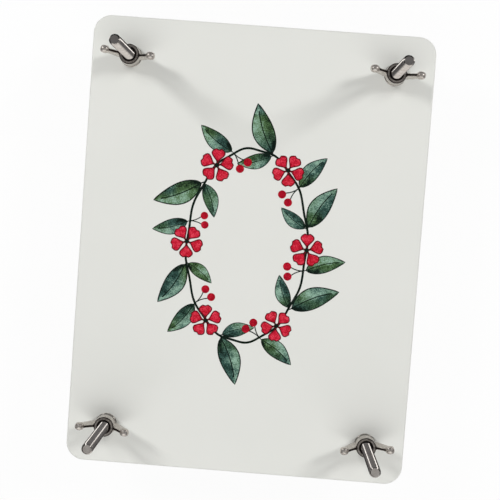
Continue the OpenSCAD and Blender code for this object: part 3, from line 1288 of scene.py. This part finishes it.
@dataclass
class BlottingSheet:
    """A sheet of thick blotting paper, cut like the cards, with soft edges."""

    number: int
    cut: float = CORNER_CUT
    edge_r: float = 0.12 * MM
    sharp_deg: float = 50.0

    def outline(self, corner: Vector, inset: float, height: float) -> list[Vector]:
        """Places the sheet's eight corners.

        Args:
            corner: The corner at the greatest X and Y, before it is cut off.
            inset: How far inside the sheet's edge the points lie.
            height: Height of the points.

        Returns:
            The points, anticlockwise from above.
        """
        slant = inset * (math.sqrt(2) - 1)
        long_x, long_y = corner.x - inset, corner.y - inset
        short_x, short_y = corner.x - self.cut - slant, corner.y - self.cut - slant
        half = [(long_x, -short_y), (long_x, short_y), (short_x, long_y), (-short_x, long_y)]
        return [Vector((x, y, height)) for x, y in (*half, *((-x, -y) for x, y in half))]

    def build(self, finish: bpy.types.Material) -> None:
        """Builds the sheet.

        Args:
            finish: Its paper.
        """
        node = f"blotting_sheet_{self.number}"
        low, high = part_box(node)
        draft = MeshDraft()
        draft.solid(
            self.outline(high, inset, height)
            for inset, height in (
                (self.edge_r, low.z),
                (0.0, low.z + self.edge_r),
                (0.0, high.z - self.edge_r),
                (self.edge_r, high.z),
            )
        )
        mesh = draft.mesh(f"soft_blotter_{self.number}", self.sharp_deg)
        add_piece(mesh, finish, f"sheet_{self.number}", Slot.BLOTTER, node)


@dataclass(frozen=True)
class Spray:
    """Where copies of a motif stand on the wreath: which place of every group, and how they lean."""

    place: int
    lean_deg: float
    small: float = 1.0
    large: float = 1.0


@dataclass
class PrintedWreath:
    """Print on the lid: an oval wreath of leaves, blossoms and berries in raised ink."""

    inks: dict[Ink, bpy.types.Material]
    centre: Pair = (-1.5 * MM, 3.0 * MM)
    half_width: float = 33.5 * MM
    half_length: float = 54.0 * MM
    places: int = 24
    every: int = 4
    stem_w: float = 1.25 * MM
    stem_steps: int = 160
    ripple: float = 0.5 * MM
    ripples: int = 12
    leaf_l: float = 26.5 * MM
    leaf_half_w: float = 5.5 * MM
    leaf_bow: float = 1.5 * MM
    leaf_steps: int = 18
    leaf_skew: float = 0.82
    leaf_point: float = 0.9
    rib_share: float = 0.86
    rib_steps: int = 10
    stalk_l: float = 1.6 * MM
    petal_l: float = 7.4 * MM
    petal_half_w: float = 3.5 * MM
    petal_start: float = 1.3 * MM
    petal_root_w: float = 0.35 * MM
    petal_steps: int = 12
    petal_skew: float = 1.55
    petal_open: float = 0.86
    notch_at: float = 0.93
    petals: int = 5
    heart_r: float = 1.25 * MM
    dot_r: float = 0.32 * MM
    dot_reach: float = 2.3 * MM
    dot_steps: int = 20
    berry_r: float = 2.3 * MM
    berry_reach: float = 9.5 * MM
    berry_steps: int = 28
    berry_turns: Pair = (0.3, -0.3)
    line_w: float = 0.58 * MM
    bite: float = 0.02 * MM
    wash_t: float = 0.04 * MM
    line_t: float = 0.055 * MM
    over_t: float = 0.02 * MM
    leaf_sprays: tuple[Spray, ...] = (
        Spray(1, -40.0, 0.98, 1.08),
        Spray(1, 46.0, 0.64, 0.74),
        Spray(3, -66.0, 0.74, 0.84),
    )
    berry_sprays: tuple[Spray, ...] = (Spray(3, 104.0, 0.90, 1.00),)
    blossom_sprays: tuple[Spray, ...] = (Spray(0, 0.0, 0.94, 1.06),)

    def leaf_middle(self, share: float) -> Pair:
        """Gives the middle of a leaf at a share of its length."""
        return self.stalk_l + self.leaf_l * share, self.leaf_bow * math.sin(math.pi * share)

    def leaf_outline(self) -> list[tuple[float, ...]]:
        """Gives a leaf's outline.

        Returns:
            For each point its X and Y, and its place along and across the leaf.
        """
        rows = []
        for i in range(self.leaf_steps + 1):
            share = i / self.leaf_steps
            inside = 0 < i < self.leaf_steps
            width = math.sin(math.pi * share**self.leaf_skew) ** self.leaf_point if inside else 0.0
            rows.append((*self.leaf_middle(share), self.leaf_half_w * width, share))
        upper = [(x, bow + half, share, 1.0) for x, bow, half, share in rows]
        lower = [(x, bow - half, share, 0.0) for x, bow, half, share in reversed(rows[1:-1])]
        return upper + lower

    def petal_outline(self) -> list[tuple[float, ...]]:
        """Gives a petal's outline, narrow at the heart of the blossom and notched at its end.

        Returns:
            For each point its X and Y, and its place along and across the petal.
        """
        upper = []
        for i in range(self.petal_steps + 1):
            share = i / self.petal_steps
            width = math.sin(math.pi * share**self.petal_skew * self.petal_open)
            half = self.petal_half_w * width if i else self.petal_root_w
            upper.append((self.petal_start + self.petal_l * share, half, share, 1.0))
        notch = (self.petal_start + self.petal_l * self.notch_at, 0.0, self.notch_at, 0.5)
        lower = [(x, -half, share, 0.0) for x, half, share, _ in reversed(upper)]
        return [*upper, notch, *lower]

    def petal_turns(self) -> list[float]:
        """Gives the angle of each petal."""
        return [2 * math.pi * i / self.petals for i in range(self.petals)]

    def plate(self, draft: MeshDraft, outline: Sequence[tuple[float, ...]], turn: float = 0.0) -> None:
        """Adds a flat shape of ink with a closed edge.

        Args:
            draft: The draft that it goes into.
            outline: Its outline, with its places along and across.
            turn: Angle by which the shape is turned about the origin.
        """
        spin = Matrix.Rotation(turn, 3, "Z")
        rings = draft.solid(
            [spin @ Vector((x, y, height)) for x, y, _, _ in outline] for height in (-self.bite, self.wash_t)
        )
        for ring in rings:
            draft.places.update({i: (along, across) for i, (_, _, along, across) in zip(ring, outline)})

    def disc(self, draft: MeshDraft, spot: Vector, radius: float, thick: float, steps: int) -> None:
        """Adds a round spot of ink.

        Args:
            draft: The draft that it goes into.
            spot: Its middle.
            radius: Its radius.
            thick: How far the ink stands above the paint.
            steps: Faces round its edge.
        """
        draft.solid(circle(spot, radius, height, steps) for height in (-self.bite, thick))

    def line(self, draft: MeshDraft, path: Sequence[Vector], closed: bool = False, turn: float = 0.0) -> None:
        """Adds a drawn line of ink.

        Args:
            draft: The draft that it goes into.
            path: The line's middle.
            closed: Whether the line goes round a shape.
            turn: Angle by which the line is turned about the origin.
        """
        spin = Matrix.Rotation(turn, 3, "Z")
        corners = []
        for i, spot in enumerate(path):
            before = path[i - 1] if closed or i else spot
            after = path[(i + 1) % len(path)] if closed or i + 1 < len(path) else spot
            ahead = (after - before).normalized()
            aside = Vector((-ahead.y, ahead.x, 0.0)) * self.line_w / 2
            corners.append((spot + aside, spot - aside))
        rows = [
            draft.ring(spin @ (pair[side] + Vector((0.0, 0.0, height))) for pair in corners)
            for side, height in ((0, -self.bite), (0, self.line_t), (1, self.line_t), (1, -self.bite))
        ]
        if closed:
            draft.loft(rows, closed=True)
            return
        for i in range(len(path) - 1):
            for a, b in zip(rows, rows[1:] + rows[:1]):
                draft.faces.append((a[i], a[i + 1], b[i + 1], b[i]))
        for end in (0, -1):
            draft.cap([row[end] for row in rows])

    def leaf_wash(self, draft: MeshDraft) -> None:
        """Draws the coloured part of a leaf."""
        self.plate(draft, self.leaf_outline())

    def leaf_lines(self, draft: MeshDraft) -> None:
        """Draws the lines of a leaf: its edge, and its rib with the stalk.

        Args:
            draft: The draft that it goes into.
        """
        self.line(draft, [Vector((x, y, 0.0)) for x, y, _, _ in self.leaf_outline()], closed=True)
        shares = [self.rib_share * i / self.rib_steps for i in range(self.rib_steps + 1)]
        self.line(draft, [Vector(), *(Vector((*self.leaf_middle(share), 0.0)) for share in shares)])

    def blossom_wash(self, draft: MeshDraft) -> None:
        """Draws the petals of a blossom."""
        for turn in self.petal_turns():
            self.plate(draft, self.petal_outline(), turn)

    def blossom_lines(self, draft: MeshDraft) -> None:
        """Draws the dark edge of each petal.

        Args:
            draft: The draft that it goes into.
        """
        outline = [Vector((x, y, 0.0)) for x, y, _, _ in self.petal_outline()]
        for turn in self.petal_turns():
            self.line(draft, outline, closed=True, turn=turn)

    def blossom_heart(self, draft: MeshDraft) -> None:
        """Draws the heart of a blossom: a disc with a dot towards each petal.

        Args:
            draft: The draft that it goes into.
        """
        self.disc(draft, Vector(), self.heart_r, self.line_t, self.dot_steps)
        for turn in self.petal_turns():
            self.disc(draft, polar(turn, self.dot_reach), self.dot_r, self.line_t, self.dot_steps)

    def berry_wash(self, draft: MeshDraft) -> None:
        """Draws a pair of berries."""
        for turn in self.berry_turns:
            self.disc(draft, polar(turn, self.berry_reach), self.berry_r, self.wash_t, self.berry_steps)

    def berry_lines(self, draft: MeshDraft) -> None:
        """Draws the bent stalks of a pair of berries.

        Args:
            draft: The draft that it goes into.
        """
        reach = self.berry_reach - self.berry_r
        for turn in self.berry_turns:
            self.line(draft, [polar(turn * s, reach * s) for s in (0.0, 0.25, 0.5, 0.75, 1.0)])

    def stem(self) -> bpy.types.Mesh:
        """Makes the oval stem that carries everything.

        Returns:
            Its mesh, about the origin.
        """
        draft = MeshDraft()
        half = self.stem_w / 2
        turns = [2 * math.pi * i / self.stem_steps for i in range(self.stem_steps)]
        rings = []
        sides = ((half, -self.bite), (half, self.line_t), (-half, self.line_t), (-half, -self.bite))
        for aside, height in sides:
            reaches = [aside + self.ripple * math.sin(self.ripples * turn) for turn in turns]
            across = [(self.half_width + reach) * math.cos(turn) for turn, reach in zip(turns, reaches)]
            along = [(self.half_length + reach) * math.sin(turn) for turn, reach in zip(turns, reaches)]
            rings.append(draft.ring((x, y, height) for x, y in zip(across, along)))
        draft.loft(rings, closed=True)
        return draft.mesh("wreath_stem")

    def lay(self, mesh: bpy.types.Mesh, ink: Ink, slot: Slot, layer: int = 0) -> None:
        """Lays a printed mesh on the lid.

        Args:
            mesh: The mesh, about the origin.
            ink: Which ink it is printed in.
            slot: The material slot.
            layer: How many layers lie under it.
        """
        face_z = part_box("top_board")[1].z
        mesh.transform(Matrix.Translation((*self.centre, face_z + layer * self.over_t)))
        add_piece(mesh, self.inks[ink], "lid", slot)

    def copies(
        self, name: str, draft: MeshDraft, sprays: Sequence[Spray], garland: ShapeTree
    ) -> bpy.types.Mesh:
        """Sets copies of a motif round the wreath.

        Args:
            name: The name of the piece that they make.
            draft: The motif, at the origin.
            sprays: Where the copies stand.
            garland: The tree that sets motifs along the oval.

        Returns:
            The copies as one mesh.
        """
        motif = linked(f"{name}_motif", draft.mesh(f"{name}_motif"))
        shared = {
            "Motif": motif,
            "Half width": self.half_width,
            "Half length": self.half_length,
            "Places": self.places,
            "Every": self.every,
        }
        rows = [
            {
                "Which": spray.place,
                "Lean": math.radians(spray.lean_deg),
                "Small": spray.small,
                "Large": spray.large,
                "Seed": spray.place,
            }
            for spray in sprays
        ]
        mesh = joined(name, [garland.run({**shared, **row}) for row in rows])
        bpy.data.objects.remove(motif)
        return mesh

    def build(self, garland: ShapeTree) -> None:
        """Builds the print, the stem first and the blossoms' hearts on top.

        Args:
            garland: The tree that sets motifs along the oval.
        """
        self.lay(self.stem(), Ink.LINE, Slot.STEM)
        for name, draw, sprays, ink, slot, layer in (
            ("wreath_leaves", self.leaf_wash, self.leaf_sprays, Ink.LEAF, Slot.LEAF, 0),
            ("wreath_leaf_lines", self.leaf_lines, self.leaf_sprays, Ink.LINE, Slot.STEM, 0),
            ("wreath_berries", self.berry_wash, self.berry_sprays, Ink.PETAL, Slot.PETAL, 1),
            ("wreath_berry_stalks", self.berry_lines, self.berry_sprays, Ink.LINE, Slot.STEM, 0),
            ("wreath_petals", self.blossom_wash, self.blossom_sprays, Ink.PETAL, Slot.PETAL, 1),
            ("wreath_petal_lines", self.blossom_lines, self.blossom_sprays, Ink.PETAL_LINE, Slot.PETAL, 1),
            ("wreath_hearts", self.blossom_heart, self.blossom_sprays, Ink.LINE, Slot.STEM, 2),
        ):
            draft = MeshDraft()
            draw(draft)
            self.lay(self.copies(name, draft, sprays, garland), ink, slot, layer)


@dataclass(frozen=True)
class SoftBox:
    """A broad studio lamp behind cloth, aimed at the middle of the press."""

    name: str
    azimuth_deg: float
    elevation_deg: float
    distance: float
    width: float
    height: float
    share: float

    def hang(self, aim: Vector) -> None:
        """Hangs the lamp, as bright as its share of the light on the lid.

        Args:
            aim: The point that it faces.
        """
        azimuth, elevation = math.radians(self.azimuth_deg), math.radians(self.elevation_deg)
        back = polar(azimuth, math.cos(elevation), math.sin(elevation))
        lamp = bpy.data.lights.new(self.name, "AREA")
        lamp.shape = "RECTANGLE"
        lamp.size = self.width
        lamp.size_y = self.height
        lamp.energy = self.share * math.pi**2 * self.distance**2 / math.sin(elevation)
        holder = linked(self.name, lamp)
        holder.location = aim + back * self.distance
        holder.rotation_mode = "QUATERNION"
        holder.rotation_quaternion = back.to_track_quat("Z", "Y")
        holder.visible_glossy = False


@dataclass(frozen=True)
class TableTop(Finish):
    """Matt white table, which the camera and the metal above it see nearly as pure white.

    Farther out it shows the metal a painted dark reflection, the dark of the room, in its place.
    """

    name: str = "white_table"
    matt: str = "F2F2F2"
    white: str = "FFFFFF"
    painted_dark_reflection: str = "1C1C1D"
    white_share: float = 0.94
    span: Pair = (0.2, 0.35)

    def draw(self, tree: NamedTree) -> None:
        """Adds the table's nodes.

        Args:
            tree: The material's tree.
        """
        tree.add("rays", "ShaderNodeLightPath")
        tree.formula(VECTOR, ("way out", "LENGTH", "at Object"))
        tree.add("near", RANGE, {"Value": "way out", "From": self.span, "To": (1.0, 0.0)}, **EASED)
        tree.formula(
            MATH,
            ("mirrored", "MULTIPLY", "rays Is Glossy Ray", "near"),
            ("direct", "MAXIMUM", "rays Is Camera Ray", "mirrored"),
            ("seen", "MAXIMUM", "direct", "rays Is Transmission Ray"),
            ("share", "MULTIPLY", "seen", self.white_share),
            # past the near span the table shows the metal a painted dark reflection
            ("far out", "SUBTRACT", "rays Is Glossy Ray", "mirrored"),
        )
        tree.add("cloth", "ShaderNodeBsdfDiffuse", {"Color": linear(self.matt)})
        tree.add("white", EMISSION, {"Color": linear(self.white), "Strength": 1.0})
        tree.add("dark", EMISSION, {"Color": linear(self.painted_dark_reflection), "Strength": 1.0})
        tree.add("top", "ShaderNodeMixShader", {0: "share", 1: "cloth", 2: "white"})
        tree.add("shader", "ShaderNodeMixShader", {0: "far out", 1: "top", 2: "dark"})


@dataclass(frozen=True)
class PaintedReflectionPanel(Finish):
    """White panel that glows evenly though it lights nothing: a painted reflection, for the streaks that it
    leaves on bright metal.
    """

    name: str = "white_panel"
    white: str = "FFFFFF"
    glow: float = 1.8

    def draw(self, tree: NamedTree) -> None:
        """Adds the panel's node."""
        tree.add("shader", EMISSION, {"Color": linear(self.white), "Strength": self.glow})


@dataclass(frozen=True)
class Room:
    """The room: dim beyond the press and overhead, dark low down, with a white card on the near side that is
    brighter in reflections than in the light it gives, a painted reflection.

    The camera itself sees a white backdrop.
    """

    backdrop: str = "FDFDFD"
    near: str = "D4D4D2"
    # the near side's tone in reflections only: a painted reflection, brighter than the light it gives
    card: str = "F6F5F3"
    far: str = "808082"
    over: str = "747476"
    low: str = "1C1C1D"
    card_dir: tuple[float, float, float] = (0.0, -1.0, 0.0)
    card_span: Pair = (0.02, 0.58)
    side_span: Pair = (0.5, 0.85)
    foot_span: Pair = (-0.02, 0.04)
    over_span: Pair = (0.7, 0.96)
    low_span: Pair = (0.08, 0.4)

    def build(self) -> None:
        """Makes the world."""
        world = bpy.data.worlds.new("room")
        bpy.context.scene.world = world
        world.use_nodes = True
        tree = NamedTree(world.node_tree)
        tree.add("way", "ShaderNodeTexCoord")
        tree.add("rays", "ShaderNodeLightPath")
        tree.add("rise", SPLIT, {0: "way Generated"})
        tree.add("over", RANGE, {"Value": "rise Z", "From": self.over_span})
        tree.add("low", RANGE, {"Value": "rise Z", "From": self.low_span}, **EASED)
        tree.add("dim", MIX, {"Factor": "over", "A": linear(self.far), "B": linear(self.over)}, **COLOUR)
        tree.add("far", MIX, {"Factor": "low", "A": linear(self.low), "B": "dim"}, **COLOUR)
        # reflections see the brighter card, a painted reflection; other rays see the near side's own tone
        walls: Inputs = {"A": linear(self.near), "B": linear(self.card)}
        tree.add("near", MIX, {"Factor": "rays Is Glossy Ray", **walls}, **COLOUR)
        tree.formula(VECTOR, ("nearness", "DOT_PRODUCT", "way Generated", self.card_dir))
        tree.add("share", RANGE, {"Value": "nearness", "From": self.card_span}, **EASED)
        tree.add("standing", RANGE, {"Value": "rise Z", "From": self.foot_span})
        tree.formula(
            VECTOR,
            ("flat", "MULTIPLY", "way Generated", (1.0, 1.0, 0.0)),
            ("level", "NORMALIZE", "flat"),
            ("facing", "DOT_PRODUCT", "level", self.card_dir),
        )
        tree.add("ahead", RANGE, {"Value": "facing", "From": self.side_span}, **EASED)
        tree.formula(
            MATH, ("carded", "MULTIPLY", "share", "standing"), ("cut", "MULTIPLY", "carded", "ahead")
        )
        tree.add("tone", MIX, {"Factor": "cut", "A": "far", "B": "near"}, **COLOUR)
        backed: Inputs = {"A": "tone", "B": linear(self.backdrop)}
        tree.add("seen", MIX, {"Factor": "rays Is Camera Ray", **backed}, **COLOUR)
        tree.add("back", "ShaderNodeBackground", {"Color": "seen", "Strength": 1.0})
        tree.add("end", "ShaderNodeOutputWorld", {"Surface": "back"})


@dataclass
class Studio:
    """The plain white table, the lamps, two glowing panels seen only as painted reflections, the room and the
    camera straight above.
    """

    camera_place_mm: tuple[float, float, float] = (12.37, 30.34, 613.09)
    camera_right: tuple[float, float, float] = (0.99689, 0.07490, -0.02458)
    camera_up: tuple[float, float, float] = (-0.07605, 0.99585, -0.05003)
    camera_clip: Pair = (0.01, 50.0)
    photo_px: float = 500.0
    focal_px: float = 1022.0
    sensor_mm: float = 36.0
    floor_half: float = 6.0
    floor_drop: float = 0.05 * MM
    panels_deg: Pair = (140.0, 32.0)
    panel_reach: float = 0.34
    panel_half_w: float = 0.05
    panel_foot: float = 0.09
    panel_head: float = 0.41
    lamps: tuple[SoftBox, ...] = (
        SoftBox("upper_left", 146.0, 37.0, 1.4, 0.26, 0.50, 0.246),
        SoftBox("upper_right", 32.0, 37.0, 1.4, 0.26, 0.50, 0.237),
        SoftBox("near_side", 270.0, 50.0, 1.1, 1.50, 0.58, 0.270),
    )

    def camera(self) -> None:
        """Sets the camera where the photo was taken from."""
        data = bpy.data.cameras.new("camera")
        data.sensor_width = self.sensor_mm
        data.lens = self.focal_px / self.photo_px * self.sensor_mm
        data.clip_start, data.clip_end = self.camera_clip
        right, up = Vector(self.camera_right), Vector(self.camera_up)
        axes = Matrix((right, up, right.cross(up))).transposed()
        holder = linked("camera", data)
        holder.matrix_world = Matrix.Translation(Vector(self.camera_place_mm) * MM) @ axes.to_4x4()
        bpy.context.scene.camera = holder

    def sheet(
        self, name: str, corners: Sequence[Sequence[float]], material: bpy.types.Material
    ) -> bpy.types.Object:
        """Hangs or lays one flat face, which isn't part of the press.

        Args:
            name: The face's name.
            corners: Its corners in order.
            material: Its finish.

        Returns:
            The face.
        """
        draft = MeshDraft()
        draft.cap(draft.ring(corners))
        face = linked(name, draft.mesh(name))
        face.data.materials.append(material)
        return face

    def panels(self) -> None:
        """Hangs glowing upright panels beside the press, which light nothing and show only as painted
        reflections in the metal.
        """
        material = PaintedReflectionPanel().build()
        foot, head = (Vector((0.0, 0.0, height)) for height in (self.panel_foot, self.panel_head))
        for number, angle in enumerate(self.panels_deg, start=1):
            turn = math.radians(angle)
            middle = polar(turn, 1.0) * self.panel_reach
            aside = Vector((-math.sin(turn), math.cos(turn), 0.0)) * self.panel_half_w
            left, right = middle - aside, middle + aside
            corners = (left + foot, right + foot, right + head, left + head)
            panel = self.sheet(f"white_panel_{number}", corners, material)
            panel.visible_camera = panel.visible_diffuse = panel.visible_shadow = False

    def build(self) -> None:
        """Sets up the whole studio."""
        bpy.context.scene.view_settings.view_transform = "Standard"
        self.camera()
        half, drop = self.floor_half, self.floor_drop
        corners = [(x, y, -drop) for x, y in ((-half, -half), (half, -half), (half, half), (-half, half))]
        self.sheet("white_table", corners, TableTop().build())
        self.panels()
        Room().build()
        aim = Vector((0.0, 0.0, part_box("top_board")[1].z))
        for lamp in self.lamps:
            lamp.hang(aim)


def washers(finish: bpy.types.Material) -> None:
    """Gives the washers, which keep their own meshes, their plate.

    Args:
        finish: The plate.
    """
    for number in CORNERS:
        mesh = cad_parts[f"washer_{number}"].data
        mesh.materials.clear()
        mesh.materials.append(finish)
        LOG.info("washer_%d keeps its mesh, %d faces", number, len(mesh.polygons))


def main() -> None:
    """Builds and dresses the press, piece by piece."""
    logging.basicConfig(level=logging.INFO, format="%(message)s")
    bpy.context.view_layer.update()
    Studio().build()
    paint = SatinPaint().build()
    # Rolled threads: bright, with fine marks that run round the rod
    bolt_plate = PlatedSteel(
        "nickel_plated_bolt",
        tone="D8D3CD",
        tarnish="C7C0BA",
        rough=(0.08, 0.18),
        mark_mm=0.25,
        mark_depth_mm=0.002,
        mark_stretch=(1.0, 1.0, 4.0),
    )
    # A rough casting under thin plate: uneven and hazy, with painted shade and dark reflections
    nut_plate = PlatedSteel(
        "nickel_plated_casting",
        tone="E3DDD6",
        tarnish="B2AAA2",
        rough=(0.14, 0.3),
        mark_mm=0.5,
        mark_depth_mm=0.014,
        cloud_mm=1.8,
        metallic=0.78,
        stain="2E2623",
    )
    # Punched from sheet: even, with faint scuffs
    washer_plate = PlatedSteel(
        "nickel_plated_washer",
        tone="CCC6BF",
        tarnish="B7B0A8",
        rough=(0.14, 0.26),
        mark_mm=0.4,
        mark_depth_mm=0.004,
    )
    # Brown and flecked
    kraft = FibreSheet(
        "kraft_card",
        tone="BC9667",
        deep="A07A4D",
        fleck="6F5334",
        fibre_mm=0.5,
        fibre_depth_mm=0.03,
        fleck_share=0.5,
    )
    # White, softer and thicker
    blotter = FibreSheet(
        "blotting_paper",
        tone="EFEBDF",
        deep="E3DCCB",
        fleck="CFC4AA",
        fibre_mm=0.45,
        fibre_depth_mm=0.05,
        fleck_share=0.35,
        fibre_stretch=(0.5, 1.0, 1.0),
    )
    PaintedBoard("bottom_board", "painted_base", "base", recessed=True).build(paint)
    PaintedBoard("top_board", "painted_lid", "lid", recessed=False).build(paint)
    thread, bolt_finish = thread_tree(), bolt_plate.build()
    for number in CORNERS:
        CarriageBolt(number).build(thread, bolt_finish)
    washers(washer_plate.build())
    WingNut().build(nut_plate.build())
    ply, card_finish = ply_tree(), kraft.build()
    for number in CARDS:
        FlutedCard(number).build(ply, card_finish)
    sheet_finish = blotter.build()
    for number in SHEETS:
        BlottingSheet(number).build(sheet_finish)
    inks = (
        PrintInk(Ink.LEAF.value, "0E1A15", "3C5C54", "4F6E45", "96B8A4", side_share=0.12, root_share=0.3),
        PrintInk(Ink.PETAL.value, "8A0C1E", "C81D36", "C0182C", "EE5366", wash_mm=2.6, root_share=0.2),
        PrintInk(Ink.PETAL_LINE.value, "4C0710", "5E0E19", "640F1A", "701823"),
        PrintInk(Ink.LINE.value, "0A120E", "101B16", "121D14", "1B2922"),
    )
    PrintedWreath({Ink(ink.name): ink.build() for ink in inks}).build(garland_tree())


if __name__ == "__main__":
    main()
